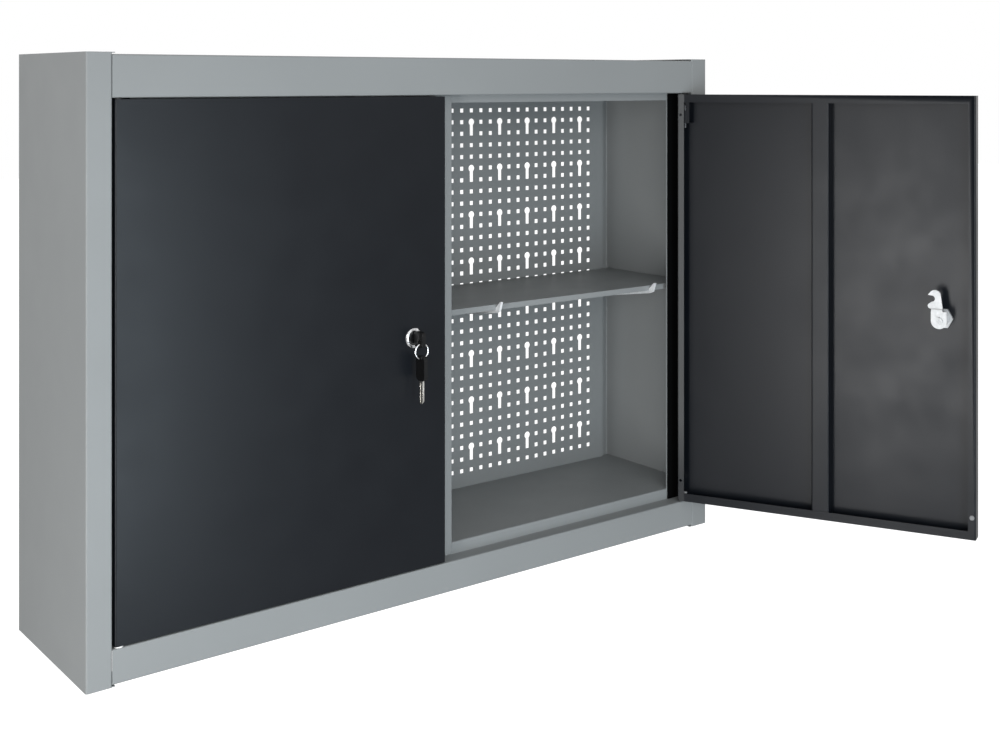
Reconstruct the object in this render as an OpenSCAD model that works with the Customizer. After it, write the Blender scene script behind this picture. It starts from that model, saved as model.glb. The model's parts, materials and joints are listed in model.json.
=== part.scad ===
// Wall cabinet for tools: a folded sheet-steel case with a perforated back, one shelf and two
// flush doors that turn on pivot pins and close with cam locks.
// Millimetres. +Z is up and -Y is the front. The origin is the middle of the wall screw
// pattern: mid width, mid height, in the wall plane. The right door stands open, as stored.

/* [Case] */
// Width over the side panels
cab_w = 800; // [700:10:1000]
// Height over the side panels
cab_h = 600; // [480:10:900]
// Depth from the wall to the front of the rails
cab_d = 200; // [160:5:320]
// Thickness of the sheet steel
sheet_t = 0.8; // [0.6:0.1:1.2]
// Inside radius of each fold
fold_r = 1; // [0.6:0.1:1.4]
// Width of each stile, the front flange of a side panel
stile_w = 25; // [22:1:40]
// Width of a side panel's rear flange
rear_flange_w = 13; // [10:1:20]
// Width of a side panel's top and bottom flanges
end_flange_w = 28; // [15:1:60]
// How far the top and floor panels lie inside the ends of the side panels
panel_inset = 2; // [1.5:0.5:4]
// From the top of the case down to the door opening
top_rail_h = 43.5; // [36:0.5:60]
// From the bottom of the case up to the door opening
bottom_rail_h = 35.5; // [30:0.5:60]
// Height of the lip that hangs behind the top of the doors
lip_h = 9; // [6:0.5:16]
// Height of the riser from the bottom rail up to the floor
riser_h = 13; // [8:0.5:30]
// Width of the stop flange behind the hinge edge of a door
stop_w = 25; // [22:0.5:32]
// Thickness of the black sealing strip on the stop flange
seal_t = 1.2; // [0.8:0.1:2]
// Width of the centre post
post_w = 42; // [36:1:50]
// Depth of the centre post's legs
post_leg = 9; // [8:0.5:14]

/* [Wall fixing] */
// Diameter of the four wall screw holes
wall_hole_d = 8; // [5:0.5:9]
// From the middle of the case to a wall screw hole
wall_hole_x = 340; // [200:5:340]
// From the top or bottom of the case to a wall screw hole
wall_hole_in = 16; // [14:1:24]
// Height of the rear flange that takes the upper wall screws
wall_flange_h = 36; // [30:1:40]

/* [Perforated back] */
// Distance between the holes
peg_pitch = 15; // [14:0.5:25]
// Side of a square hole
peg_hole = 5.2; // [4:0.1:6]
// Diameter of a keyhole's round end
keyhole_d = 9; // [7.5:0.1:10]
// Room behind the perforated face for hooks
hook_room = 7.2; // [6:0.1:12]
// From the top of the back to its first row of holes
peg_top = 28; // [15:1:60]
// Least distance from the last row down to the floor
peg_bottom = 20; // [12:1:60]
// Least distance from the last column to the edge of the back
peg_side = 25; // [12:1:60]

/* [Shelf] */
// Row of holes that holds the shelf brackets, counted from the top
shelf_row = 16; // [8:1:20]
// Height of the shelf's lips
shelf_lip = 6.5; // [5:0.5:9]
// Gap between the centre post and the shelf
shelf_behind = 0.5; // [0.3:0.1:20]
// Gap between the shelf and a side panel
shelf_gap = 1.2; // [0.5:0.1:3]
// Thickness of a shelf bracket
bracket_t = 3; // [2:0.5:4]

/* [Doors] */
// Thickness of a door
door_t = 18; // [17:0.5:22]
// Gap between a door and its stile
door_side_gap = 2.5; // [2.4:0.1:4]
// Gap between the two doors
door_centre_gap = 2; // [1.5:0.5:4]
// Gap above and below a door
door_end_gap = 1.5; // [1.2:0.1:3]
// Width of the return flange on the hinge edge
hinge_flange_w = 8.5; // [7.5:0.5:9]
// Width of the return flange on the free edge
free_flange_w = 9; // [8:0.5:14]
// Width of the return flanges at the top and bottom of a door
door_end_flange_w = 10; // [8:0.5:14]
// Width of the stiffener
stiffener_w = 22; // [14:1:40]
// Angle at which the right door stands open
door_open = 116; // [90:1:116]

/* [Hinge pins] */
// From the hinge edge of a door to its pin
hinge_in = 5; // [4.6:0.1:6]
// From the front face of a door back to its pin
hinge_back = 4.5; // [4.3:0.1:5]
// Diameter of a hinge pin
pin_d = 5; // [4:0.1:5.2]
// Radial clearance of a pin in its bush and brackets
pin_clear = 0.05; // [0.02:0.01:0.1]
// How far the sprung pin pulls down
pin_travel = 6; // [5.2:0.1:7]

/* [Cam locks] */
// From the free edge of a door to its lock
lock_in = 41; // [38:0.5:48]
// Height of the locks above the middle of the case
lock_z = -9; // [-60:1:-8]
// Diameter of the chrome bezel
bezel_d = 22; // [20:0.5:28]
// Diameter of the lock's threaded barrel
barrel_d = 16.5; // [15:0.5:18]
// Diameter of the turning plug
plug_d = 12; // [11:0.5:12.5]
// From the lock's axis to the tip of the cam
cam_len = 35.7; // [34.5:0.1:36.5]
// Thickness of the cam
cam_t = 2.4; // [1.5:0.1:3]
// How far the cam's hub stands off from its arm
cam_crank = 3; // [2.5:0.1:3.5]
// Radius of the split ring
ring_r = 8.1; // [7.5:0.1:10]
// Radius of the split ring's wire
ring_wire_r = 0.8; // [0.6:0.05:1]

/* [Hidden] */
$fn = 48;

half_t = sheet_t / 2;
fold_mid = fold_r + half_t;            // radius of a fold's middle line
seam = 0.1;                            // fitting gap between parts that lie in one plane

// Places of the case, from its middle
half_w = cab_w / 2;
half_h = cab_h / 2;
wall_in = half_w - sheet_t;            // inside of a side panel
open_x = half_w - stile_w;             // side of the door opening
open_top = half_h - top_rail_h;
open_bottom = -half_h + bottom_rail_h;
floor_z = open_bottom + riser_h;
rear_x = half_w - rear_flange_w;
back_top = half_h - panel_inset - wall_flange_h;

// Doors: each is drawn closed on the right, about its own pin at x = 0, y = 0
door_w = open_x - door_side_gap - door_centre_gap / 2;
door_top = open_top - door_end_gap;
door_bottom = open_bottom + door_end_gap;
pin_x = open_x - door_side_gap - hinge_in;
pin_y = -cab_d + hinge_back;
pin_r = pin_d / 2;
free_x = hinge_in - door_w;            // free edge of the door
skin_y = -hinge_back + sheet_t;        // inside of the door's skin
inner_y = -hinge_back + door_t;        // inner plane of the door
lock_x = free_x + lock_in;

// The door's inner hinge corner sweeps past the seal with this clearance
sweep_clear = 0.4;
sweep = hinge_back + norm([hinge_in, door_t - hinge_back]);
stop_depth = sweep + sweep_clear + seal_t;
stop_y = -cab_d + stop_depth;          // front of the stop flanges, the lip and the riser

// Perforated back, drawn for the right half
back_w = rear_x - 1;
peg_cols = floor((back_w - peg_side) / peg_pitch);
peg_rows = floor((back_top - peg_top - floor_z - peg_bottom) / peg_pitch) + 1;
key_every = [3, 4];                    // a keyhole in each third column and fourth row
key_first = [2, 1];
function row_z(j) = back_top - peg_top - j * peg_pitch;
function is_keyhole(i, j) = i % key_every[0] == key_first[0] && j % key_every[1] == key_first[1];

// Shelf and its brackets
hook_z = row_z(shelf_row);
shelf_rise = 10;                       // from the hooks' row up to the foot of the shelf's lips
bracket_top = hook_z + shelf_rise;
bracket_cols = [6, 22];
bracket_rear_h = 28;
bracket_front_h = 3.5;
hook_reach = 4.5;                      // how far a hook reaches behind the front of the back
hook_drop = 3;
hook_clear = [0.6, 0.2];               // a hook's clearance in its hole's height and behind the sheet
tip_foot = 6.4;                        // how far the tip stands out past the shelf, at its foot
tip_out = 10.8;                        // and at its top, where it leans out
tip_top = 4;                           // how far the tip stands above the shelf
tip_w = 2.4;
tip_seat = 2.5;                        // height of the stop in front of the shelf's lip
shelf_y = stop_y + post_leg + shelf_behind;
shelf_x = wall_in - shelf_gap;
shelf_rear = 2;                        // gap between the shelf and the back

// Hinge hardware, measured from the inside of the door's end wall
ear_t = 1.2;
bracket_x = [-10, hinge_in - sheet_t - fold_r];
plate_y = [inner_y - 3, inner_y - 2];
sprung_len = 36;                       // length of the sprung pin's bracket
foot_t = 1.2;                          // thickness of the doubler that carries the fixed pin
foot_rise = 6;                         // how far the doubler turns up the door's skin
foot_stub = 7.2;                       // how far the fixed pin stands up inside the door
foot_head_t = 1.5;
foot_seat = 0.05;                      // gap between the fixed pin's shoulder and its bush
corner_in = 26;                        // from the end of a door to its small holes and bumper
handle_z = -12;
handle_turn = 21.4;                    // the handle leaves beside the return flange
handle_r = 1;
handle_bend = 2;                       // radius of the bend in the handle's middle line
handle_tail = 7;                       // from the handle's middle line down to its end
collar_z = -16;
collar_t = 1.5;
slot_clear = 0.4;                      // room above and below the handle in its slot
spring_wire = 0.4;                     // radius of the spring's wire
spring_turns = 7;
spring_steps = 8;                      // rings of points in one turn
spring_rings = spring_turns * spring_steps;
spring_r = (pin_r + 2 * pin_clear) / cos(180 / spring_steps) + spring_wire;
spring_low = -sprung_len + ear_t + spring_wire;
spring_rise = collar_z - spring_wire - spring_low;
bush_free = 0.4;                       // gap between a bush and the door
bush_flange_t = door_end_gap - bush_free;
bush_flange_r = hinge_back - 0.2;
bush_r = hinge_back - sheet_t - 0.1;
bush_len = 3;                          // how far the bush reaches past the edge of the opening
pin_reach = 4;                         // how far a pin reaches past the edge of the opening

// Lock, along the lock's axis with y as on the door
bezel_t = 2.2;
cam_clear = 0.4;                       // gap between the closed door's cam and the post
arm_y = stop_y - pin_y + cam_clear;    // front of the cam's arm
hub_y = arm_y + cam_crank;
barrel_end = hub_y - 0.2;
nut_af = 22;
nut_t = 4;
drive = 6.4;                           // square that carries the cam
screw_head = [4.5, 2.2];
screw_shank = [1.9, 7.4];
keyway = [2.4, 8];
blade_t = 2;
blade_h = 7.6;
bow = [4.4, 17, 18];                   // thickness, height and length of the key's head
bow_hole_r = 3;
bow_start = -hinge_back - bezel_t - 0.4;
ring_y = bow_start - bow[2] + 5;
bow_hole_z = -2.5;
spare = [4.4, 17, 27];                 // thickness, width and length of the spare key's head
spare_hole_r = 2.2;
ring_hang = 0.15;                      // gap between the ring and what it hangs in
// A ring of this radius falls by this much across half a key's thickness
function ring_sag(t) = ring_r - sqrt(ring_r * ring_r - t * t / 4);
ring_top = bow_hole_z - bow_hole_r + ring_wire_r + ring_sag(bow[0]) + ring_hang;
ring_bottom = ring_top - 2 * ring_r;
spare_hole_z = ring_bottom - spare_hole_r + ring_wire_r + ring_sag(spare[0]) + ring_hang;
spare_top = spare_hole_z + spare_hole_r + 2;
spare_blade = [2, 7, 25];

body_grey = "#8e8f8e";
door_black = "#2b2d30";
zinc = "#c9cbcd";

// ---------- helpers ----------

// A box from its lowest to its highest corner
module slab(low, high) translate(low) cube(high - low);

// A drawing in x and y, drawn out along z
module along_z(z0, z1) translate([0, 0, z0]) linear_extrude(z1 - z0) children();

// A drawing in y and z, drawn out along x
module along_x(x0, x1) translate([x0, 0, 0]) rotate([90, 0, 90]) linear_extrude(x1 - x0) children();

// A drawing in x and z, drawn out along y
module along_y(y0, y1) translate([0, y1, 0]) rotate([90, 0, 0]) linear_extrude(y1 - y0) children();

function way(a, b) = (b - a) / norm(b - a);
function cross_of(a, b) = a[0] * b[1] - a[1] * b[0];

// Folded sheet in section, along the points of its middle line
module folded(points) {
  last = len(points) - 1;
  for (i = [0 : last - 1]) {
    along = way(points[i], points[i + 1]);
    side = [-along[1], along[0]] * half_t;
    a = points[i] + along * (i > 0 ? fold_mid : 0);
    b = points[i + 1] - along * (i < last - 1 ? fold_mid : 0);
    polygon([a - side, b - side, b + side, a + side]);
  }
  for (i = [1 : last - 1]) {
    before = way(points[i - 1], points[i]);
    after = way(points[i], points[i + 1]);
    centre = points[i] + (after - before) * fold_mid;
    reach = fold_r + sheet_t + 1;
    corner = [centre, centre + before * reach, centre + (before - after) * reach, centre - after * reach];
    intersection() {
      translate(centre) difference() {
        circle(r = fold_r + sheet_t);
        circle(r = fold_r);
      }
      polygon(cross_of(before, after) > 0 ? [for (k = [3 : -1 : 0]) corner[k]] : corner);
    }
  }
}

// Places a closed right door's drawing on the right, open, or on the left, closed
module on_right() translate([pin_x, pin_y, 0]) rotate(door_open) children();
module on_left() mirror([1, 0, 0]) translate([pin_x, pin_y, 0]) children();

// ---------- case ----------

module side_panel() color(body_grey) {
  wall_x = half_w - half_t;
  front_y = -cab_d + half_t;
  jamb_x = open_x + half_t;
  flange_y = stop_y + half_t;
  along_z(-half_h, half_h) folded([[rear_x, -half_t], [wall_x, -half_t], [wall_x, front_y],
    [jamb_x, front_y], [jamb_x, flange_y - 2 * fold_mid]]);
  along_z(open_bottom, open_top) folded([[jamb_x, front_y + 2 * fold_mid], [jamb_x, flange_y],
    [open_x - stop_w, flange_y]]);
  for (z = [-half_h, half_h - sheet_t])
    slab([half_w - end_flange_w, -cab_d + sheet_t, z], [wall_in, -sheet_t, z + sheet_t]);
}

module wall_holes(z) {
  for (s = [-1, 1]) translate([s * wall_hole_x, 1, z]) rotate([90, 0, 0])
    cylinder(d = wall_hole_d, h = 2 + sheet_t);
}

module bush_holes(z) {
  for (s = [-1, 1]) translate([s * pin_x, pin_y, z - 1]) cylinder(r = bush_r, h = sheet_t + 2);
}

module top_panel() color(body_grey) {
  sheet_z = half_h - panel_inset - half_t;
  front_y = -cab_d + half_t;
  middle_y = -cab_d / 2;
  lip_x = open_x - stop_w - seam;
  difference() {
    union() {
      along_x(-rear_x + seam, rear_x - seam)
        folded([[-half_t, back_top], [-half_t, sheet_z], [middle_y, sheet_z]]);
      along_x(-open_x, open_x) folded([[middle_y, sheet_z], [front_y, sheet_z],
        [front_y, open_top + half_t], [stop_y - fold_mid, open_top + half_t]]);
      along_x(-lip_x, lip_x) folded([[front_y + 2 * fold_mid, open_top + half_t],
        [stop_y + half_t, open_top + half_t], [stop_y + half_t, open_top - lip_h]]);
      slab([-wall_in, stop_y + sheet_t + seam, sheet_z - half_t],
        [wall_in, -sheet_t - 2 * fold_mid, sheet_z + half_t]);
    }
    wall_holes(half_h - wall_hole_in);
    bush_holes(open_top);
  }
}

module floor_panel() color(body_grey) {
  under_w = 30;                        // width of the flange under the bottom rail
  under_z = -half_h + panel_inset;
  front_y = -cab_d + half_t;
  middle_y = -cab_d / 2;
  riser_x = open_x - stop_w - seam;
  difference() {
    union() {
      along_x(-rear_x + seam, rear_x - seam)
        folded([[-half_t, under_z], [-half_t, floor_z - half_t], [middle_y, floor_z - half_t]]);
      along_x(-riser_x, riser_x) folded([[middle_y, floor_z - half_t],
        [stop_y + half_t, floor_z - half_t], [stop_y + half_t, open_bottom - half_t],
        [front_y + 2 * fold_mid, open_bottom - half_t]]);
      along_x(-open_x, open_x) folded([[stop_y - fold_mid, open_bottom - half_t],
        [front_y, open_bottom - half_t], [front_y, under_z + half_t],
        [-cab_d + under_w, under_z + half_t]]);
      slab([-wall_in, stop_y + sheet_t + seam, floor_z - sheet_t],
        [wall_in, -sheet_t - 2 * fold_mid, floor_z]);
    }
    wall_holes(-half_h + wall_hole_in);
    bush_holes(open_bottom - sheet_t);
  }
}

// One peg position: a square hole, or a keyhole that runs down into the next row
module peg_hole(i, j) translate([i * peg_pitch, row_z(j)]) {
  if (is_keyhole(i, j)) {
    circle(d = keyhole_d);
    translate([-peg_hole / 2, -peg_pitch - peg_hole / 2])
      square([peg_hole, peg_pitch + peg_hole / 2]);
  } else if (!is_keyhole(i, j - 1))
    square(peg_hole, center = true);
}

// The right half of the back: a shallow tray with its edges turned back to the wall
module back_half() color(body_grey) {
  face_y = -hook_room - sheet_t;
  along_y(face_y, face_y + sheet_t) difference() {
    translate([0, floor_z]) square([back_w, back_top - floor_z]);
    for (i = [1 : peg_cols], j = [0 : peg_rows - 1]) peg_hole(i, j);
  }
  for (x = [0, back_w - sheet_t])
    slab([x, -hook_room, floor_z], [x + sheet_t, 0, back_top]);
  for (z = [floor_z, back_top - sheet_t])
    slab([0, -hook_room, z], [back_w, 0, z + sheet_t]);
}

module centre_post() color(body_grey) {
  leg_x = post_w / 2 - half_t;
  face_y = stop_y - half_t;
  leg_end = stop_y + post_leg;
  slot_top = lock_z + cam_len - 4;
  slot_bottom = lock_z - 9;
  difference() {
    along_z(open_bottom + fold_r, open_top - fold_r)
      folded([[-leg_x, leg_end], [-leg_x, face_y], [leg_x, face_y], [leg_x, leg_end]]);
    slab([-post_w, stop_y, open_bottom - 1], [post_w, leg_end + 1, floor_z]);
    slab([-post_w, stop_y, open_top - lip_h], [post_w, leg_end + 1, open_top + 1]);
    for (x = [-post_w / 2 - 1, post_w / 2 - fold_r - 2])
      slab([x, stop_y, slot_bottom], [x + fold_r + 3, stop_y + cam_clear + cam_t + 2, slot_top]);
  }
}

// Sealing strip on a stop flange, the full height of the opening
module seal() color("#0b0b0c")
  slab([open_x - stop_w + 1, stop_y - seal_t, open_bottom], [open_x - fold_r - seam, stop_y, open_top]);

module shelf() color(body_grey) {
  rear_y = -hook_room - sheet_t - shelf_rear;
  top_z = bracket_top + shelf_lip;
  difference() {
    slab([-shelf_x, shelf_y, bracket_top], [shelf_x, rear_y, top_z]);
    slab([-shelf_x + sheet_t, shelf_y + sheet_t, bracket_top - 1],
      [shelf_x - sheet_t, rear_y - sheet_t, top_z - sheet_t]);
  }
}

// Plate bracket: two hooks in the back, a tapered arm under the shelf and a tip that leans out
module shelf_bracket(col) color(zinc) {
  face_y = -hook_room - sheet_t;
  hook_y = face_y + hook_reach;
  half_neck = peg_hole / 2 - hook_clear[0];
  tip_z = bracket_top + shelf_lip + tip_top;
  translate([col * peg_pitch, 0, 0]) {
    along_x(-bracket_t / 2, bracket_t / 2) polygon([[shelf_y - tip_foot, bracket_top - tip_w / 2],
      [shelf_y, bracket_top - bracket_front_h], [face_y, bracket_top - bracket_rear_h],
      [face_y, bracket_top], [shelf_y - seam, bracket_top], [shelf_y - seam, bracket_top + tip_seat],
      [shelf_y - tip_out + tip_w, tip_z], [shelf_y - tip_out, tip_z]]);
    for (j = [0, 1]) {
      hole_z = row_z(shelf_row + j);
      slab([-bracket_t / 2, face_y, hole_z - half_neck], [bracket_t / 2, hook_y, hole_z + half_neck]);
      slab([-bracket_t / 2, face_y + sheet_t + hook_clear[1], hole_z - half_neck - hook_drop],
        [bracket_t / 2, hook_y, hole_z + half_neck]);
    }
  }
}

// Nylon bush: its flange lies in the gap beside the door, its body in the rail
module bush(edge_z) color("#ecebe6") translate([pin_x, pin_y, edge_z]) difference() {
  union() {
    translate([0, 0, -bush_flange_t]) cylinder(r = bush_flange_r, h = bush_flange_t);
    cylinder(r = bush_r, h = bush_len);
  }
  translate([0, 0, -bush_flange_t - 1]) cylinder(r = pin_r + pin_clear, h = bush_len + bush_flange_t + 2);
}

// ---------- door, about its pin ----------

module door() color(door_black) {
  out_y = -hinge_back + half_t;
  in_y = inner_y - half_t;
  hinge_x = hinge_in - half_t;
  edge_x = free_x + half_t;
  flange_x = [free_x + free_flange_w, hinge_in - hinge_flange_w];
  difference() {
    union() {
      along_z(door_bottom, door_top) folded([[flange_x[1], in_y], [hinge_x, in_y], [hinge_x, out_y],
        [edge_x, out_y], [edge_x, in_y], [flange_x[0], in_y]]);
      for (z = [door_bottom, door_top - sheet_t])
        slab([free_x + half_t, -hinge_back + half_t, z], [hinge_in - half_t, inner_y - half_t, z + sheet_t]);
      for (z = [door_bottom, door_top - door_end_flange_w])
        slab([flange_x[0], inner_y - sheet_t, z], [flange_x[1], inner_y, z + door_end_flange_w]);
    }
    translate([0, 0, door_bottom - 1]) cylinder(r = pin_r + pin_clear, h = sheet_t + 2);
    translate([0, 0, door_top - sheet_t - 1]) cylinder(r = pin_r + pin_clear, h = sheet_t + 2);
    for (z = [door_bottom + corner_in, door_top - corner_in])
      translate([1, inner_y + 1, z]) rotate([90, 0, 0]) cylinder(r = 1.8, h = sheet_t + 2);
    translate([free_x + free_flange_w / 2, inner_y + 1, door_bottom + corner_in])
      rotate([90, 0, 0]) cylinder(r = 2, h = sheet_t + 2);
    translate([lock_x, skin_y + 1, lock_z]) rotate([90, 0, 0]) cylinder(d = barrel_d + 0.2, h = sheet_t + 2);
  }
}

module stiffener() color(door_black) {
  leg_x = stiffener_w / 2 - half_t;
  web_y = inner_y - sheet_t - half_t;
  end_in = sheet_t + fold_r;
  translate([(free_x + hinge_in) / 2, 0, 0]) along_z(door_bottom + end_in, door_top - end_in)
    folded([[-leg_x, skin_y], [-leg_x, web_y], [leg_x, web_y], [leg_x, skin_y]]);
}

// Bracket that carries a pin between two ears, hanging down from the inside of the end wall
module pivot_bracket(length) color(door_black) difference() {
  union() {
    for (z = [-ear_t, -length]) slab([bracket_x[0], skin_y, z], [bracket_x[1], plate_y[1], z + ear_t]);
    slab([bracket_x[0], plate_y[0], -length], [bracket_x[1], plate_y[1], 0]);
  }
  translate([0, 0, -length - 1]) cylinder(r = pin_r + pin_clear, h = length + 2);
}

module at_door_top() translate([0, 0, door_top - sheet_t]) children();
module at_door_foot() translate([0, 0, door_bottom + sheet_t]) mirror([0, 0, 1]) children();

module pin_bracket() at_door_top() difference() {
  slot_x = -tan(handle_turn) * plate_y[0];
  pivot_bracket(sprung_len);
  slab([slot_x - 1.8, plate_y[0] - 1, handle_z - pin_travel - handle_r - slot_clear],
    [slot_x + 1.8, plate_y[1] + 1, handle_z + handle_r + slot_clear]);
}

// Doubler on the door's end wall, turned up beside the pin
module foot_bracket() at_door_foot() color(door_black) difference() {
  union() {
    slab([bracket_x[0], skin_y, -foot_t], [bracket_x[1], plate_y[0], 0]);
    slab([bracket_x[0], skin_y, -foot_rise], [-pin_r - 1, skin_y + foot_t, 0]);
  }
  translate([0, 0, -foot_t - 1]) cylinder(r = pin_r + pin_clear, h = foot_t + 2);
}

// Fixed pin: riveted into the foot of the door, which it carries on the shoulder below
module foot_pin() color(zinc) at_door_foot() {
  reach = sheet_t + door_end_gap + pin_reach;
  translate([0, 0, -foot_stub]) cylinder(r = pin_r, h = foot_stub + reach - 1);
  translate([0, 0, -foot_t - foot_head_t]) cylinder(r = pin_r + 0.9, h = foot_head_t);
  translate([0, 0, sheet_t]) cylinder(r = pin_r + 1, h = bush_free - foot_seat);
  translate([0, 0, reach - 1]) cylinder(r1 = pin_r, r2 = pin_r - 0.8, h = 1);
}

// Sprung pin with its collar and the bent handle that comes out through the bracket's slot
module sprung_pin() color(zinc) at_door_top() {
  reach = sheet_t + door_end_gap + pin_reach;
  tail = 6;                            // how far the pin shows below its bracket
  out = (inner_y - 0.6) / cos(handle_turn);
  translate([0, 0, -sprung_len - tail]) cylinder(r = pin_r, h = sprung_len + tail + reach - 1);
  translate([0, 0, reach - 1]) cylinder(r1 = pin_r, r2 = pin_r - 0.8, h = 1);
  translate([0, 0, collar_z]) cylinder(r = pin_r + 1, h = collar_t);
  rotate(handle_turn) {
    translate([0, 0, handle_z]) rotate([-90, 0, 0]) cylinder(r = handle_r, h = out - handle_bend);
    translate([0, out - handle_bend, handle_z - handle_bend]) rotate([90, 0, 90])
      rotate_extrude(angle = 90) translate([handle_bend, 0]) circle(r = handle_r);
    translate([0, out, handle_z - handle_tail]) cylinder(r = handle_r, h = handle_tail - handle_bend);
  }
}

// Middle line of the spring's wire, and the points of one ring around it
function coil_z(k) = spring_low + spring_rise * k / spring_rings;
function coil_point(k) = let (a = 360 * k / spring_steps) [spring_r * cos(a), spring_r * sin(a), coil_z(k)];
function wire_ring(a, z, r, sides) = [for (k = [0 : sides - 1]) let (b = 360 * k / sides)
  [(r + spring_wire * cos(b)) * cos(a), (r + spring_wire * cos(b)) * sin(a), z + spring_wire * sin(b)]];

// Least gap of the spring's wire to itself, between points half a turn apart or more
spring_gap = min([for (k = [0 : spring_rings], m = [k + spring_steps / 2 : 1 : spring_rings])
  norm(coil_point(k) - coil_point(m))]) - 2 * spring_wire;
echo(spring_gap = spring_gap);

// Compression spring between the lower ear and the pin's collar
module pin_spring() color("#8f9296") at_door_top() {
  sides = 6;
  rings = spring_rings;
  points = [for (k = [0 : rings]) each wire_ring(360 * k / spring_steps, coil_z(k), spring_r, sides)];
  walls = [for (k = [0 : rings - 1], s = [0 : sides - 1])
    let (t = (s + 1) % sides, a = k * sides, b = a + sides)
      each [[a + s, a + t, b + t], [a + s, b + t, b + s]]];
  ends = concat([for (s = [1 : sides - 2]) [0, s + 1, s]],
    [for (s = [1 : sides - 2]) [rings * sides, rings * sides + s, rings * sides + s + 1]]);
  polyhedron(points, concat([for (w = walls) [w[0], w[1], w[2]]], ends));
}

// Push-in bumper on the free edge's flange, near its foot
module bumper() color("#8b8b8b")
  translate([free_x + free_flange_w / 2, inner_y, door_bottom + corner_in]) rotate([-90, 0, 0]) {
    translate([0, 0, -sheet_t - 1]) cylinder(r = 1.9, h = sheet_t + 1);
    cylinder(r1 = 3, r2 = 2.4, h = 1.3);
  }

// ---------- cam lock, on the door ----------

// Turns a lathe drawing so that its z runs along the lock's axis, towards the inside
module on_lock() translate([lock_x, 0, lock_z]) rotate([-90, 0, 0]) children();

module lock_barrel() color("#d9dadc") on_lock() {
  bore_r = plug_d / 2 + 0.05;
  front = -hinge_back - bezel_t;
  round_w = 3;                         // width and depth of the rim's round
  round_h = bezel_t - 0.5;
  bezel_r = bezel_d / 2;
  barrel_r = barrel_d / 2;
  rim = [for (a = [90 : -15 : 0])
    [bezel_r + round_w * (cos(a) - 1), front + round_h * (1 - sin(a))]];
  rotate_extrude() polygon(concat([[bore_r, front + 0.3], [bore_r + 0.3, front]], rim,
    [[bezel_r, -hinge_back], [barrel_r, -hinge_back], [barrel_r, barrel_end], [bore_r, barrel_end]]));
}

module lock_nut() color(zinc) on_lock() translate([0, 0, skin_y]) difference() {
  cylinder(r = nut_af / sqrt(3), h = nut_t, $fn = 6);
  translate([0, 0, -1]) cylinder(d = barrel_d + 0.1, h = nut_t + 2);
}

module lock_plug() color("#c4c5c7") on_lock() {
  front = -hinge_back - bezel_t + 0.6;
  difference() {
    union() {
      translate([0, 0, front]) cylinder(d = plug_d, h = hub_y - front);
      translate([-drive / 2, -drive / 2, hub_y]) cube([drive, drive, cam_t]);
    }
    translate([-keyway[0] / 2, -keyway[1] / 2, front - 1]) cube([keyway[0], keyway[1], 16]);
    translate([0, 0, hub_y + cam_t - screw_shank[1]]) cylinder(r = 2, h = screw_shank[1] + 1);
  }
}

// Points of an arc about a centre
function arc(centre, r, from, to, steps) =
  [for (k = [0 : steps]) let (a = from + (to - from) * k / steps) centre + r * [cos(a), sin(a)]];

// Hooked cam, cranked towards the door and standing upright, unlocked
module cam() color(zinc) translate([lock_x, 0, lock_z]) {
  hub_r = 9.2;
  hub_top = 11;
  arm_back = -4.3;                     // plain edge of the arm, towards the free edge
  arm_front = 9;
  dome_r = 6.8;                        // round end of the arm
  notch_r = 3.7;                       // round end of the hook's notch
  lobe_r = 3.2;                        // prong below the notch
  dome = [5, cam_len - dome_r];
  notch = [8.7, cam_len - 10.3];
  lobe = [10.2, cam_len - 18.8];
  nose = [12.8, cam_len - 5.5];
  difference() {
    union() {
      along_y(hub_y, hub_y + cam_t) {
        circle(r = hub_r);
        translate([-hub_r, 0]) square([2 * hub_r, hub_top]);
      }
      along_y(arm_y, hub_y + cam_t) translate([arm_back, hub_top]) square([arm_front - arm_back, cam_t]);
      along_y(arm_y, arm_y + cam_t) polygon(concat([[arm_back, hub_top]], arc(dome, dome_r, 162, 40, 10),
        [nose, nose - [0, 0.6]], arc(notch, notch_r, 90, 270, 12), arc(lobe, lobe_r, 60, -60, 8),
        [[arm_front, hub_top + cam_t], [arm_front, hub_top]]));
    }
    translate([-drive / 2 - 0.05, hub_y - 1, -drive / 2 - 0.05]) cube([drive + 0.1, cam_t + 2, drive + 0.1]);
  }
}

module cam_screw() color(zinc) on_lock() translate([0, 0, hub_y + cam_t]) difference() {
  union() {
    cylinder(r = screw_head[0], h = screw_head[1]);
    translate([0, 0, -screw_shank[1]]) cylinder(r = screw_shank[0], h = screw_shank[1]);
  }
  for (a = [0, 90]) rotate(a) translate([-2.6, -0.5, screw_head[1] - 1]) cube([5.2, 1, 2]);
}

// Rounded outline of a key's head, from its blade end at v = 0
module head_outline(width, length) {
  r = 5;
  difference() {
    union() {
      translate([-width / 2, r]) square([width, length - 2 * r]);
      translate([-width / 2 + r, 0]) square([width - 2 * r, length]);
      for (x = [-1, 1], v = [r, length - r]) translate([x * (width / 2 - r), v]) circle(r = r);
    }
    children();
  }
}

// Key in the left lock: its blade stands in the keyway and its black head looks out
module key() color("#101011") on_lock() {
  translate([0, 0, bow_start]) rotate([0, 90, 0]) rotate([0, 0, 90]) translate([0, 0, -bow[0] / 2])
    linear_extrude(bow[0]) mirror([0, 1]) head_outline(bow[1], bow[2])
      translate([-bow_hole_z, bow_start - ring_y]) circle(r = bow_hole_r);
  translate([-blade_t / 2, -blade_h / 2, bow_start - 0.01]) cube([blade_t, blade_h, 15]);
}

module at_ring() translate([lock_x, ring_y, lock_z]) children();

module key_ring() color("#d0d1d3") at_ring() translate([0, 0, (ring_top + ring_bottom) / 2])
  rotate([90, 0, 0]) rotate_extrude() translate([ring_r, 0]) circle(r = ring_wire_r);

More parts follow.
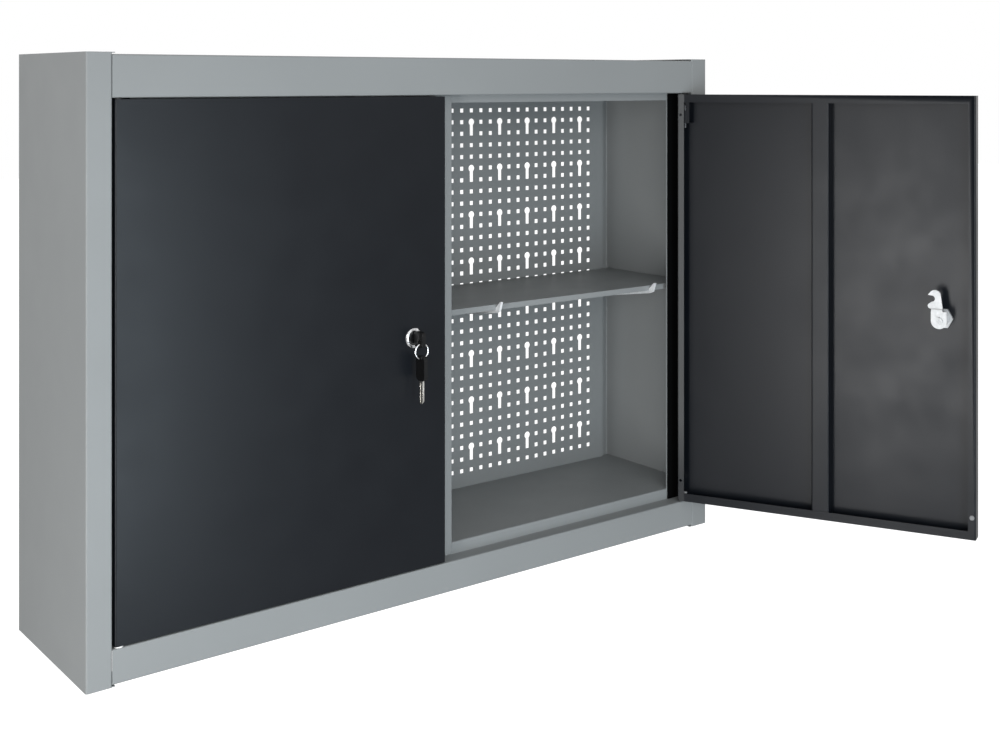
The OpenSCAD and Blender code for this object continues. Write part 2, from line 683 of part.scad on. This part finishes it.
// Spare key hanging from the ring
module spare_key() color("#101011") at_ring() {
  head_end = spare_top - spare[2];
  translate([-spare[0] / 2, 0, 0]) along_x(0, spare[0]) translate([0, head_end])
    head_outline(spare[1], spare[2]) translate([0, spare_hole_z - head_end]) circle(r = spare_hole_r);
  along_x(-spare_blade[0] / 2, spare_blade[0] / 2) polygon([[-spare_blade[1] / 2, head_end + 1],
    [-spare_blade[1] / 2, head_end - spare_blade[2] + 3], [-1, head_end - spare_blade[2]],
    [1, head_end - spare_blade[2]], [spare_blade[1] / 2, head_end - spare_blade[2] + 3],
    [spare_blade[1] / 2, head_end + 1]]);
}

// ---------- the assembly ----------

module to_left() mirror([1, 0, 0]) children();
module to_foot() mirror([0, 0, 1]) children();

to_left() side_panel();  // side_panel_left
side_panel();  // side_panel_right
top_panel();
floor_panel();
to_left() back_half();  // back_left
back_half();  // back_right
centre_post();
to_left() seal();  // seal_left
seal();  // seal_right
shelf();
shelf_bracket(-bracket_cols[1]);  // shelf_bracket_1
shelf_bracket(-bracket_cols[0]);  // shelf_bracket_2
shelf_bracket(bracket_cols[0]);  // shelf_bracket_3
shelf_bracket(bracket_cols[1]);  // shelf_bracket_4
to_left() bush(open_top);  // bush_top_left
to_left() to_foot() bush(-open_bottom);  // bush_bottom_left
bush(open_top);  // bush_top_right
to_foot() bush(-open_bottom);  // bush_bottom_right

on_left() door();  // door_left
on_left() stiffener();  // stiffener_left
on_left() pin_bracket();  // pin_bracket_left
on_left() foot_bracket();  // foot_bracket_left
on_left() foot_pin();  // foot_pin_left
on_left() sprung_pin();  // sprung_pin_left
on_left() pin_spring();  // pin_spring_left
on_left() bumper();  // bumper_left
on_left() lock_barrel();  // lock_barrel_left
on_left() lock_nut();  // lock_nut_left
on_left() lock_plug();  // lock_plug_left
on_left() cam();  // cam_left
on_left() cam_screw();  // cam_screw_left
on_left() key();
on_left() key_ring();
on_left() spare_key();

on_right() door();  // door_right
on_right() stiffener();  // stiffener_right
on_right() pin_bracket();  // pin_bracket_right
on_right() foot_bracket();  // foot_bracket_right
on_right() foot_pin();  // foot_pin_right
on_right() sprung_pin();  // sprung_pin_right
on_right() pin_spring();  // pin_spring_right
on_right() bumper();  // bumper_right
on_right() lock_barrel();  // lock_barrel_right
on_right() lock_nut();  // lock_nut_right
on_right() lock_plug();  // lock_plug_right
on_right() cam();  // cam_right
on_right() cam_screw();  // cam_screw_right
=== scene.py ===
import json
import math

import bmesh
import bpy
from mathutils import Matrix, Vector


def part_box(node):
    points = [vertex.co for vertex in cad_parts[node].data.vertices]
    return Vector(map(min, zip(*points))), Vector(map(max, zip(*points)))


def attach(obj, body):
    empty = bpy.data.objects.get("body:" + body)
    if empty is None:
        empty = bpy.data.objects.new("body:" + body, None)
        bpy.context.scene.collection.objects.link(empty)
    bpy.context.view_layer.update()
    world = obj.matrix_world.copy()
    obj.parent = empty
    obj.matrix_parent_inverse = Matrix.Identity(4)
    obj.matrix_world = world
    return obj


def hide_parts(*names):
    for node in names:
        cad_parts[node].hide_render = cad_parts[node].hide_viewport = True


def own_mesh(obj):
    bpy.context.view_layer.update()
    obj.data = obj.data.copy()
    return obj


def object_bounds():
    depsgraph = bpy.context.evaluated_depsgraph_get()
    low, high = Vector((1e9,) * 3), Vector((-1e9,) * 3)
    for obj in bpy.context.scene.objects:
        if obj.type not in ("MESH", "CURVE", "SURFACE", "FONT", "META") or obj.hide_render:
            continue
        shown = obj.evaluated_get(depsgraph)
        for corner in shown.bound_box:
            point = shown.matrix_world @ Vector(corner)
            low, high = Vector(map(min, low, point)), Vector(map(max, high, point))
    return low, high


MM = 0.001

# ---------------------------------------------------------------- the frame

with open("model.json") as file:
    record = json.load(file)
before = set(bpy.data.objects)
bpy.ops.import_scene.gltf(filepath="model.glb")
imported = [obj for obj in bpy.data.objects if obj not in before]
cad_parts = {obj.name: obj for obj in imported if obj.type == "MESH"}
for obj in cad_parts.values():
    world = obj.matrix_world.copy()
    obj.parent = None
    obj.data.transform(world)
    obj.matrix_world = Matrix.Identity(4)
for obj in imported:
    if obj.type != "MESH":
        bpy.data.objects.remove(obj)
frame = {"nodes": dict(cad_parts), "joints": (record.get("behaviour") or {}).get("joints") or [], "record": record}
cad_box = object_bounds()
nodes = frame["nodes"]
joints = {j["name"]: j for j in frame["joints"]}
SIDES = ("left", "right")

# ---------------------------------------------------------------- view

PHOTO_W, PHOTO_H = 1000, 750
CAMERA_PLACE = (-0.855, -1.501, 0.273)
CAMERA_YAW = -39.17
CAMERA_TILT = 90                       # level; at 0 it would look straight down
FOCAL_PX = 1390.6
CENTRE_PX = (589.0, 80.3)              # where the level view line meets the picture
SENSOR = 36.0
CLIP_START = 10 * MM

# ---------------------------------------------------------------- colours, linear

WHITE = (1, 1, 1)
CASE_GREY = (0.222, 0.233, 0.235)
DOOR_ANTHRACITE = (0.0040, 0.0052, 0.0075)
# painted highlight: the lighter colour laid on each door's hinge lip
LIP_PAINTED_HIGHLIGHT = (0.072, 0.073, 0.074)
ZINC = (0.86, 0.87, 0.88)
# painted shade: a darker copy of the zinc for the cam, nut and screw, holding down the left lamp's highlight on
# them
CAM_ZINC = (0.46, 0.465, 0.47)
CHROME = (0.86, 0.86, 0.87)
# painted shade and reflection: the plug's face darkened as the key's dark bow over it makes it look
PLUG_METAL = (0.10, 0.10, 0.105)
SPRING_STEEL = (0.45, 0.46, 0.48)
DARK_STEEL = (0.06, 0.061, 0.065)
KEY_STEEL = (0.62, 0.60, 0.56)
KEY_BLACK = (0.0035, 0.0035, 0.0038)
NYLON = (0.86, 0.85, 0.82)
NYLON_BLACK = (0.010, 0.010, 0.010)
SEAL_BLACK = (0.0020, 0.0021, 0.0022)
BUMPER_GREY = (0.19, 0.19, 0.19)
FLOOR_WHITE = (0.42, 0.42, 0.42)

# ---------------------------------------------------------------- studio values

HUNG = 0.9                             # from the floor up to the cabinet on its wall
FLOOR_SIZE = 40
FLOOR_LIFT = 0.9                       # glow of the floor as the camera sees it
FLOOR_LIFT_MIRRORED = 0.32             # and as metal and glass see it
WORLD_LEVEL = 0.58                     # of the sky, as it lights matt surfaces; the camera sees it at 1
# name: place, target, size in metres, power in watts, colour
LAMPS = {
    "front": ((-0.03, -1.45, -0.2), (-0.2, -0.2, -0.05), (0.3, 0.9), 8.0, (0.78, 0.91, 1.0)),
    "left": ((-1.35, -0.92, -0.27), (0.5, -0.45, -0.05), (0.3, 0.9), 13.5, WHITE),
    "key": ((-1.3, -2.6, 0.5), (0.1, 0, 0), (1.0, 1.0), 23, WHITE),
    "top": ((-0.4, -2.6, 2.0), (0, -0.1, 0), (1.6, 1.6), 5, WHITE),
}


# ---------------------------------------------------------------- materials

def ray_kind(tree, *kinds):
    """An output that is 1 for rays of any of these kinds and 0 for the others."""
    path = tree.nodes.new("ShaderNodeLightPath")
    found = path.outputs[kinds[0]]
    for kind in kinds[1:]:
        either = tree.nodes.new("ShaderNodeMath")
        either.operation = "MAXIMUM"
        tree.links.new(found, either.inputs[0])
        tree.links.new(path.outputs[kind], either.inputs[1])
        found = either.outputs[0]
    return found


class Shader:
    """A material's node tree, with short calls for what the materials here share."""

    def __init__(self, name, colour):
        self.material = bpy.data.materials.new(name)
        self.material.use_nodes = True
        self.material.diffuse_color = (*colour, 1)
        self.tree = self.material.node_tree
        self.surface = self.tree.nodes["Principled BSDF"]
        self.place = self.tree.nodes.new("ShaderNodeTexCoord").outputs["Object"]

    def node(self, kind, **values):
        made = self.tree.nodes.new(kind)
        for key, value in values.items():
            setattr(made, key, value)
        return made

    def link(self, source, target):
        self.tree.links.new(source, target)

    def set(self, **values):
        for key, value in values.items():
            self.surface.inputs[key.replace("_", " ")].default_value = value

    def combined(self, operation, source, value):
        """One operation on a source and a number or a second source."""
        made = self.node("ShaderNodeMath", operation=operation)
        self.link(source, made.inputs[0])
        if isinstance(value, bpy.types.NodeSocket):
            self.link(value, made.inputs[1])
        else:
            made.inputs[1].default_value = value
        return made

    def stretched(self, stretch):
        mapping = self.node("ShaderNodeMapping")
        mapping.inputs["Scale"].default_value = stretch
        self.link(self.place, mapping.inputs["Vector"])
        return mapping.outputs["Vector"]

    def noise(self, size, detail=2.0, stretch=None):
        """Noise with features of about this size, in metres."""
        made = self.node("ShaderNodeTexNoise")
        made.inputs["Scale"].default_value = 1 / size
        made.inputs["Detail"].default_value = detail
        self.link(self.stretched(stretch) if stretch else self.place, made.inputs["Vector"])
        return made.outputs["Fac"]

    def spread(self, fac, low, high, start=0.3, end=0.7):
        """A factor that runs from low to high as fac runs from start to end."""
        made = self.node("ShaderNodeMapRange")
        for key, value in (("From Min", start), ("From Max", end), ("To Min", low), ("To Max", high)):
            made.inputs[key].default_value = value
        self.link(fac, made.inputs["Value"])
        return made.outputs["Result"]

    def tint(self, fac, colour, low, high):
        """The colour times a factor that runs from low to high."""
        made = self.node("ShaderNodeMix", data_type="RGBA")
        made.inputs["A"].default_value = (*[c * low for c in colour], 1)
        made.inputs["B"].default_value = (*[c * high for c in colour], 1)
        self.link(self.spread(fac, 0, 1), made.inputs["Factor"])
        self.link(made.outputs["Result"], self.surface.inputs["Base Color"])

    def reach(self, point, way, start, end, low, high):
        """A factor that runs from low to high with the distance from the point along a direction."""
        offset = self.node("ShaderNodeVectorMath", operation="SUBTRACT")
        offset.inputs[1].default_value = point
        self.link(self.place, offset.inputs[0])
        along = self.node("ShaderNodeVectorMath", operation="DOT_PRODUCT")
        along.inputs[1].default_value = way
        self.link(offset.outputs["Vector"], along.inputs[0])
        return self.spread(along.outputs["Value"], low, high, start, end)

    def overlay(self, factors, colour):
        """A second colour over the first, as strong as the product of the factors."""
        product = factors[0]
        for factor in factors[1:]:
            product = self.combined("MULTIPLY", product, factor).outputs["Value"]
        made = self.node("ShaderNodeMix", data_type="RGBA")
        self.link(self.surface.inputs["Base Color"].links[0].from_socket, made.inputs["A"])
        made.inputs["B"].default_value = (*colour, 1)
        self.link(product, made.inputs["Factor"])
        self.link(made.outputs["Result"], self.surface.inputs["Base Color"])

    def roughen(self, fac, low, high):
        self.link(self.spread(fac, low, high), self.surface.inputs["Roughness"])

    def bumps(self, *layers):
        """Bump layers, each a height and its depth in metres, one over the other."""
        before = None
        for height, depth in layers:
            made = self.node("ShaderNodeBump")
            made.inputs["Distance"].default_value = depth
            made.inputs["Strength"].default_value = 1.0
            self.link(height, made.inputs["Height"])
            if before:
                self.link(before, made.inputs["Normal"])
            before = made.outputs["Normal"]
        self.link(before, self.surface.inputs["Normal"])


DOOR_TURN = {"left": 0, "right": 116}  # degrees by which each door is stored open
DOOR_WAY = {"left": 1, "right": -1}    # along x from the pivot to the free edge, with the door shut
# The hinge lip's painted highlight, from the pivot: along the door, inward and up
LIP_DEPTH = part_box("door_left")[1][1] - joints["left_door_swing"]["pos_m"][1]
LIP_ENDS = (3.6 * MM, 4.2 * MM)
LIP_STARTS = (LIP_DEPTH - 1.6 * MM, LIP_DEPTH - 1.2 * MM)
LIP_GROWS = (-0.24, -0.16)
LIP_AT_FOOT = 0.35                     # its strength below the height where it grows


def powder_coat(name, colour, roughness, peel_depth, specular=0.3, bare=None):
    """Powder-coated sheet: fine orange peel, slow waves of the sheet and a slightly uneven gloss.
    bare is the side whose door has a painted highlight on its hinge lip in this finish: a lighter colour laid
    along the lip, weaker towards the foot."""
    s = Shader(name, colour)
    s.tint(s.noise(160 * MM), colour, 0.975, 1.025)
    s.roughen(s.noise(50 * MM), roughness - 0.03, roughness + 0.03)
    s.bumps((s.noise(220 * MM, detail=1), 0.14 * MM), (s.noise(2.2 * MM), peel_depth))
    s.set(Specular_IOR_Level=specular)
    if bare:
        pivot = joints[f"{bare}_door_swing"]["pos_m"]
        turn, way = math.radians(DOOR_TURN[bare]), DOOR_WAY[bare]
        along = (way * math.cos(turn), way * math.sin(turn), 0)
        inward = (-math.sin(turn), math.cos(turn), 0)
        # painted highlight on the hinge lip, along its length and weaker towards the foot
        s.overlay([s.reach(pivot, along, *LIP_ENDS, 1, 0),
                   s.reach(pivot, inward, *LIP_STARTS, 0, 1),
                   s.reach(pivot, (0, 0, 1), *LIP_GROWS, LIP_AT_FOOT, 1)], LIP_PAINTED_HIGHLIGHT)
    return s.material


def plated(name, colour, roughness, grain=None, metal=1.0):
    """Zinc plate over cut or drawn steel: spangle in the gloss and a little colour in it."""
    s = Shader(name, colour)
    s.tint(s.noise(6 * MM, 3, grain), colour, 0.88, 1.04)
    s.roughen(s.noise(2.5 * MM, 3, grain), roughness - 0.07, roughness + 0.09)
    s.bumps((s.noise(1.2 * MM, 2, grain), 0.01 * MM))
    s.set(Metallic=metal)
    return s.material


def polished(name, colour, roughness, cloud=(0.97, 1.0), cloud_size=10 * MM):
    """Bright metal with slow clouds in its colour and a fine unevenness in its gloss. Strong dark clouds are
    painted reflection.
    """
    s = Shader(name, colour)
    s.tint(s.noise(cloud_size), colour, *cloud)
    s.roughen(s.noise(3 * MM), roughness * 0.8, roughness * 1.3)
    s.bumps((s.noise(4 * MM), 0.004 * MM))
    s.set(Metallic=1.0)
    return s.material


def moulded(name, colour, roughness, grain=0.9 * MM, depth=0.02 * MM, specular=0.5):
    """Moulded plastic or rubber with a fine eroded texture."""
    s = Shader(name, colour)
    s.tint(s.noise(12 * MM), colour, 0.94, 1.06)
    s.roughen(s.noise(4 * MM), roughness - 0.05, roughness + 0.05)
    s.bumps((s.noise(grain), depth))
    s.set(Specular_IOR_Level=specular)
    return s.material


def floor_paint():
    """Pale floor that the camera sees as white but for the object's shadow, and metal and glass
    nearly so."""
    s = Shader("floor", FLOOR_WHITE)
    s.set(Roughness=0.9, Specular_IOR_Level=0.1, Base_Color=(*FLOOR_WHITE, 1), Emission_Color=(*WHITE, 1))
    mirrored = s.combined("MULTIPLY", ray_kind(s.tree, "Is Glossy Ray", "Is Transmission Ray"),
                          FLOOR_LIFT_MIRRORED)
    lift = s.combined("MULTIPLY_ADD", ray_kind(s.tree, "Is Camera Ray"), FLOOR_LIFT)
    s.link(mirrored.outputs[0], lift.inputs[2])
    s.link(lift.outputs[0], s.surface.inputs["Emission Strength"])
    return s.material


DOOR_COAT = {"colour": DOOR_ANTHRACITE, "roughness": 0.33, "peel_depth": 0.010 * MM, "specular": 0.21}
FINISH = {
    "case_grey": powder_coat("case_grey", CASE_GREY, roughness=0.46, peel_depth=0.012 * MM),
    "door_anthracite": powder_coat("door_anthracite", **DOOR_COAT),
    "door_left": powder_coat("door_left_coat", **DOOR_COAT, bare="left"),
    "door_right": powder_coat("door_right_coat", **DOOR_COAT, bare="right"),
    "zinc": plated("zinc", ZINC, roughness=0.42, metal=0.4),
    "cam_zinc": plated("cam_zinc", CAM_ZINC, roughness=0.56),
    "dark_steel": plated("dark_steel", DARK_STEEL, roughness=0.40),
    "chrome": polished("chrome", CHROME, roughness=0.09),
    # painted reflection: strong dark clouds in the bezel's chrome, as of darker things mirrored in it
    "bezel_chrome": polished("bezel_chrome", CHROME, roughness=0.12, cloud=(0.45, 1.0), cloud_size=4 * MM),
    "spring_steel": plated("spring_steel", SPRING_STEEL, roughness=0.32),
    "nylon_white": moulded("nylon_white", NYLON, roughness=0.45),
    "nylon_black": moulded("nylon_black", NYLON_BLACK, roughness=0.5, specular=0.2),
    "seal_black": moulded("seal_black", SEAL_BLACK, roughness=0.8, grain=1.6 * MM, depth=0.06 * MM,
                          specular=0.02),
    "bumper_grey": moulded("bumper_grey", BUMPER_GREY, roughness=0.7),
    "key_black": moulded("key_black", KEY_BLACK, roughness=0.42, grain=0.7 * MM, depth=0.012 * MM,
                         specular=0.22),
    "key_steel": plated("key_steel", KEY_STEEL, roughness=0.30, grain=(1, 1, 0.2)),
    "plug_metal": polished("plug_metal", PLUG_METAL, roughness=0.22),
}


def paint(piece, finish):
    piece.data.materials.clear()
    piece.data.materials.append(FINISH[finish])


def smooth(mesh, angle=32):
    """Smooth shading that keeps the edges sharper than this angle."""
    mesh.shade_smooth()
    mesh.set_sharp_from_angle(angle=math.radians(angle))


def soften(piece, width, segments=2, least_angle=40):
    """Narrow round on the edges sharper than this angle."""
    bevel = piece.modifiers.new("edge", "BEVEL")
    bevel.width = width
    bevel.segments = segments
    bevel.limit_method = "ANGLE"
    bevel.angle_limit = math.radians(least_angle)
    bevel.harden_normals = False


# ---------------------------------------------------------------- the CAD pieces' finish

SHEET_EDGE = 0.12 * MM
PLATE_EDGE = 0.25 * MM
PLATE_PARTS = ("cam", "lock_nut", "lock_barrel", "cam_screw")
SHEET_PARTS = ("pin_bracket", "foot_bracket", "stiffener")
SHELF_BRACKETS = 4
# parts that don't have the plain finish of their slot
SPECIAL = {"lock_plug": "plug_metal", "lock_barrel": "bezel_chrome", "cam": "cam_zinc",
           "lock_nut": "cam_zinc", "cam_screw": "cam_zinc", "sprung_pin": "dark_steel",
           "bush_top": "nylon_black"}
slot_of = {p["node"]: p["material_slot"] for p in frame["record"]["subparts"]}
for name, piece in nodes.items():
    smooth(piece.data)
    finish = name if name.startswith("door_") else SPECIAL.get(name.rpartition("_")[0], slot_of[name])
    paint(piece, finish)
for side in SIDES:
    for part in PLATE_PARTS:
        soften(nodes[f"{part}_{side}"], PLATE_EDGE)
    for part in SHEET_PARTS:
        soften(nodes[f"{part}_{side}"], SHEET_EDGE)
    soften(nodes[f"seal_{side}"], PLATE_EDGE)
for number in range(SHELF_BRACKETS):
    soften(nodes[f"shelf_bracket_{number + 1}"], PLATE_EDGE)


# ---------------------------------------------------------------- pieces made here

def new_piece(name, mesh, finish, body):
    piece = bpy.data.objects.new(name, mesh)
    bpy.context.scene.collection.objects.link(piece)
    paint(piece, finish)
    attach(piece, body)
    return piece


def final_mesh(piece):
    """The mesh that a curve or a piece with modifiers comes to."""
    bpy.context.view_layer.update()
    return bpy.data.meshes.new_from_object(piece.evaluated_get(bpy.context.evaluated_depsgraph_get()))


def drawn_mesh(name, curve):
    drawn = bpy.data.objects.new(name + "_curve", curve)
    bpy.context.scene.collection.objects.link(drawn)
    mesh = final_mesh(drawn)
    bpy.data.objects.remove(drawn)
    mesh.name = name
    mesh.materials.clear()
    return mesh


def arc(centre, radius, start, end, steps):
    """Points on an arc in the (u, v) plane, from start to end in degrees."""
    turn = [math.radians(start + (end - start) * k / steps) for k in range(steps + 1)]
    return [(centre[0] + radius * math.cos(a), centre[1] + radius * math.sin(a)) for a in turn]


def plate(name, outlines, thickness, place):
    """A flat plate from an outline and its holes in (u, v), in mm, centred on its own thickness.
    place turns (u, v, w) into the row frame."""
    curve = bpy.data.curves.new(name, "CURVE")
    curve.dimensions = "2D"
    curve.fill_mode = "BOTH"
    curve.extrude = thickness * MM / 2
    for loop in outlines:
        spline = curve.splines.new("POLY")
        spline.points.add(len(loop) - 1)
        for point, (u, v) in zip(spline.points, loop):
            point.co = (u * MM, v * MM, 0, 1)
        spline.use_cyclic_u = True
    mesh = drawn_mesh(name, curve)
    work = bmesh.new()
    work.from_mesh(mesh)
    bmesh.ops.remove_doubles(work, verts=work.verts, dist=1e-6)
    work.transform(place)
    bmesh.ops.recalc_face_normals(work, faces=work.faces)
    work.to_mesh(mesh)
    work.free()
    return mesh


def carved(mesh, cutter):
    """The mesh less the cutter, both in the row frame."""
    pieces = [bpy.data.objects.new("carving", m) for m in (mesh, cutter)]
    for piece in pieces:
        bpy.context.scene.collection.objects.link(piece)
    cut = pieces[0].modifiers.new("cut", "BOOLEAN")
    cut.operation = "DIFFERENCE"
    cut.solver = "EXACT"
    cut.object = pieces[1]
    made = final_mesh(pieces[0])
    for piece in pieces:
        bpy.data.objects.remove(piece)
    return made


def block(low, high, place):
    """A box between two corners in (u, v, w), in mm, turned into the row frame."""
    mesh = bpy.data.meshes.new("block")
    work = bmesh.new()
    bmesh.ops.create_cube(work, size=1)
    for vert in work.verts:
        vert.co = [(a + (b - a) * (c + 0.5)) * MM for a, b, c in zip(low, high, vert.co)]
    work.to_mesh(mesh)
    work.free()
    mesh.transform(place)
    if place.determinant() < 0:
        mesh.flip_normals()
    return mesh


# ---------------------------------------------------------------- keys, in mm and degrees

HEAD_THICK = 4.4
HEAD_WIDTH = 17
HEAD_CORNER = 5.0
HEAD_ROUND = 1.1
ROUND_SEGMENTS = 4
CORNER_STEPS = 8
EYE_STEPS = 48
BLADE_THICK = 2
BLADE_EDGE = 0.12
TIP_HALF = 1                           # half the width of the blade's blunt tip
TIP_LENGTH = 3                         # of the taper to the tip
TIP_SET_BACK = 0.6                     # of the cut edge where the taper starts
CUT_DEPTHS = (1.2, 2.0, 0.7, 1.6, 0.9)     # of the bitting, from the head to the tip
CUT_PITCH = 3.2
CUT_FLAT = 1.1
CUT_SLOPE = 45
CUT_LIMIT = 4.5                        # from the tip, where no cut is made
GROOVES = ((1, -1.9, -0.5), (-1, -0.2, 1.3))   # face, and its edges across the blade
GROOVE_DEPTH = 0.45
GROOVE_START = 2.2                     # from the head's end of the blade
PAST = 1                               # by which a cutter stands out
# length of the head, centre and radius of its eye, width and length of the blade, place of the first cut
KEYS = {
    "key": (18, (2.5, 13), 3, 7.6, 15, 3.5),
    "spare_key": (27, (0, 22.8), 2.2, 7, 25, 5.5),
}


def head_outline(length):
    """Outline of a key's plastic head, from its blade end at v = 0."""
    u, r = HEAD_WIDTH / 2 - HEAD_CORNER, HEAD_CORNER
    corners = ((u, r, -90), (u, length - r, 0), (-u, length - r, 90), (-u, r, 180))
    return [point for u, v, start in corners
            for point in arc((u, v), r, start, start + 90, CORNER_STEPS)]


def blade_outline(width, length, first_cut):
    """Outline of a cut blade, with its head end at v = 0 and its tip at v = -length."""
    half = width / 2
    outline = [(-half, 0), (-half, TIP_LENGTH - length), (-TIP_HALF, -length), (TIP_HALF, -length),
               (half - TIP_SET_BACK, TIP_LENGTH - length)]
    for number, depth in reversed(list(enumerate(CUT_DEPTHS))):
        middle = -first_cut - number * CUT_PITCH
        if middle < CUT_LIMIT - length:
            continue
        flat = CUT_FLAT / 2
        mouth = min(flat + depth / math.tan(math.radians(CUT_SLOPE)), CUT_PITCH / 2)
        outline += [(half, middle - mouth), (half - depth, middle - flat),
                    (half - depth, middle + flat), (half, middle + mouth)]
    return outline + [(half, 0)]


def make_key(node, body, place):
    """A key's rounded plastic head and grooved blade, in (u, v) with the head above v = 0."""
    head_length, eye_centre, eye_radius, blade_width, blade_length, first_cut = KEYS[node]
    eye = arc(eye_centre, eye_radius, 0, 360 - 360 / EYE_STEPS, EYE_STEPS - 1)
    plastic = plate(node + "_head", [head_outline(head_length), eye], HEAD_THICK, place)
    head = new_piece(node + "_head", plastic, "key_black", body)
    smooth(head.data)
    soften(head, HEAD_ROUND * MM, ROUND_SEGMENTS)
    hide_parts(node)
    steel = plate(node + "_blade", [blade_outline(blade_width, blade_length, first_cut)], BLADE_THICK, place)
    for face, low, high in GROOVES:
        floor, above = sorted(face * (BLADE_THICK / 2 + step) for step in (-GROOVE_DEPTH, PAST))
        steel = carved(steel, block((low, -blade_length - PAST, floor), (high, -GROOVE_START, above), place))
    blade = new_piece(node + "_blade", steel, "key_steel", body)
    smooth(blade.data)
    soften(blade, BLADE_EDGE * MM, 1)


def box_centre(node):
    low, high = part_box(node)
    return [(a + b) / 2 for a, b in zip(low, high)]


def keys():
    """The key stands out of the plug along -y, and the spare key hangs on the ring along -z."""
    plug, spare = box_centre("lock_plug_left"), box_centre("spare_key")
    head_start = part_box("key")[0][1] + KEYS["key"][0] * MM
    turn = Matrix(((0, 0, 1, plug[0]), (0, -1, 0, head_start), (-1, 0, 0, plug[2]), (0, 0, 0, 1)))
    make_key("key", "left_lock", turn)
    head_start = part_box("spare_key")[1][2] - KEYS["spare_key"][0] * MM
    hang = Matrix(((0, 0, 1, spare[0]), (1, 0, 0, spare[1]), (0, 1, 0, head_start), (0, 0, 0, 1)))
    make_key("spare_key", "hanging_key", hang)


keys()


# ---------------------------------------------------------------- springs

SPRING_WIRE = 0.4 * MM                 # radius
SPRING_TURNS = 7
TURN_STEPS = 24
WIRE_ROUND = 3                         # steps of the wire's section
COIL_SMOOTH = 60


def coil_radius():
    """Radius of both coils, from the left one's box. The right one's is turned with its door."""
    low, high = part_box("pin_spring_left")
    return (high[0] - low[0]) / 2 - SPRING_WIRE


def spring(side):
    """Coil between the lower ear and the pin's collar, at its rest length; on the real door it shortens as the pin
    is pulled down.
    """
    low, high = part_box(f"pin_spring_{side}")
    axis = [(low[k] + high[k]) / 2 for k in (0, 1)]
    radius = coil_radius()
    height = high[2] - low[2]
    start, rise = low[2] + SPRING_WIRE, height - 2 * SPRING_WIRE
    curve = bpy.data.curves.new(f"coil_{side}", "CURVE")
    curve.dimensions = "3D"
    curve.bevel_depth = SPRING_WIRE
    curve.bevel_resolution = WIRE_ROUND
    curve.use_fill_caps = True
    steps = SPRING_TURNS * TURN_STEPS
    line = curve.splines.new("POLY")
    line.points.add(steps)
    for k, point in enumerate(line.points):
        a = math.tau * k / TURN_STEPS
        point.co = (axis[0] + radius * math.cos(a), axis[1] + radius * math.sin(a),
                    start + rise * k / steps, 1)
    coil = new_piece(f"coil_{side}", drawn_mesh(f"coil_{side}", curve), "spring_steel",
                     f"{side}_door")
    smooth(coil.data, COIL_SMOOTH)
    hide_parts(f"pin_spring_{side}")
    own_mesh(coil)


for side in SIDES:
    spring(side)


# ---------------------------------------------------------------- studio

def studio():
    """A floor and a sky that the camera sees as white, and the lamps."""
    scene = bpy.context.scene
    bpy.ops.mesh.primitive_plane_add(size=FLOOR_SIZE, location=(0, 0, cad_box[0][2] - HUNG))
    floor = bpy.context.object
    floor.name = "floor"
    floor.data.materials.append(floor_paint())
    world = bpy.data.worlds.new("studio")
    scene.world = world
    world.use_nodes = True
    tree = world.node_tree
    back = tree.nodes["Background"]
    back.inputs["Color"].default_value = (*WHITE, 1)
    strength = tree.nodes.new("ShaderNodeMapRange")
    strength.inputs["To Min"].default_value = WORLD_LEVEL
    strength.inputs["To Max"].default_value = 1.0
    seen = ray_kind(tree, "Is Camera Ray", "Is Glossy Ray", "Is Transmission Ray")
    tree.links.new(seen, strength.inputs["Value"])
    tree.links.new(strength.outputs["Result"], back.inputs["Strength"])
    for name, (place, target, size, power, colour) in LAMPS.items():
        data = bpy.data.lights.new(name, "AREA")
        data.shape = "RECTANGLE"
        data.size, data.size_y = size
        data.energy = power
        data.color = colour
        lamp = bpy.data.objects.new(name, data)
        scene.collection.objects.link(lamp)
        lamp.location = place
        lamp.rotation_euler = (Vector(target) - Vector(place)).to_track_quat("-Z", "Y").to_euler()
    scene.view_settings.view_transform = "Standard"


def camera():
    """The photograph's view: level, with its frame shifted until the level line lies where it did."""
    data = bpy.data.cameras.new("view")
    data.sensor_width = SENSOR
    data.lens = FOCAL_PX * SENSOR / PHOTO_W
    data.shift_x = (PHOTO_W / 2 - CENTRE_PX[0]) / PHOTO_W
    data.shift_y = (CENTRE_PX[1] - PHOTO_H / 2) / PHOTO_W
    data.clip_start = CLIP_START
    eye = bpy.data.objects.new("view", data)
    bpy.context.scene.collection.objects.link(eye)
    eye.location = CAMERA_PLACE
    yaw, tilt = math.radians(CAMERA_YAW), math.radians(CAMERA_TILT)
    eye.rotation_euler = (Matrix.Rotation(yaw, 4, "Z") @ Matrix.Rotation(tilt, 4, "X")).to_euler()
    bpy.context.scene.camera = eye


camera()
studio()
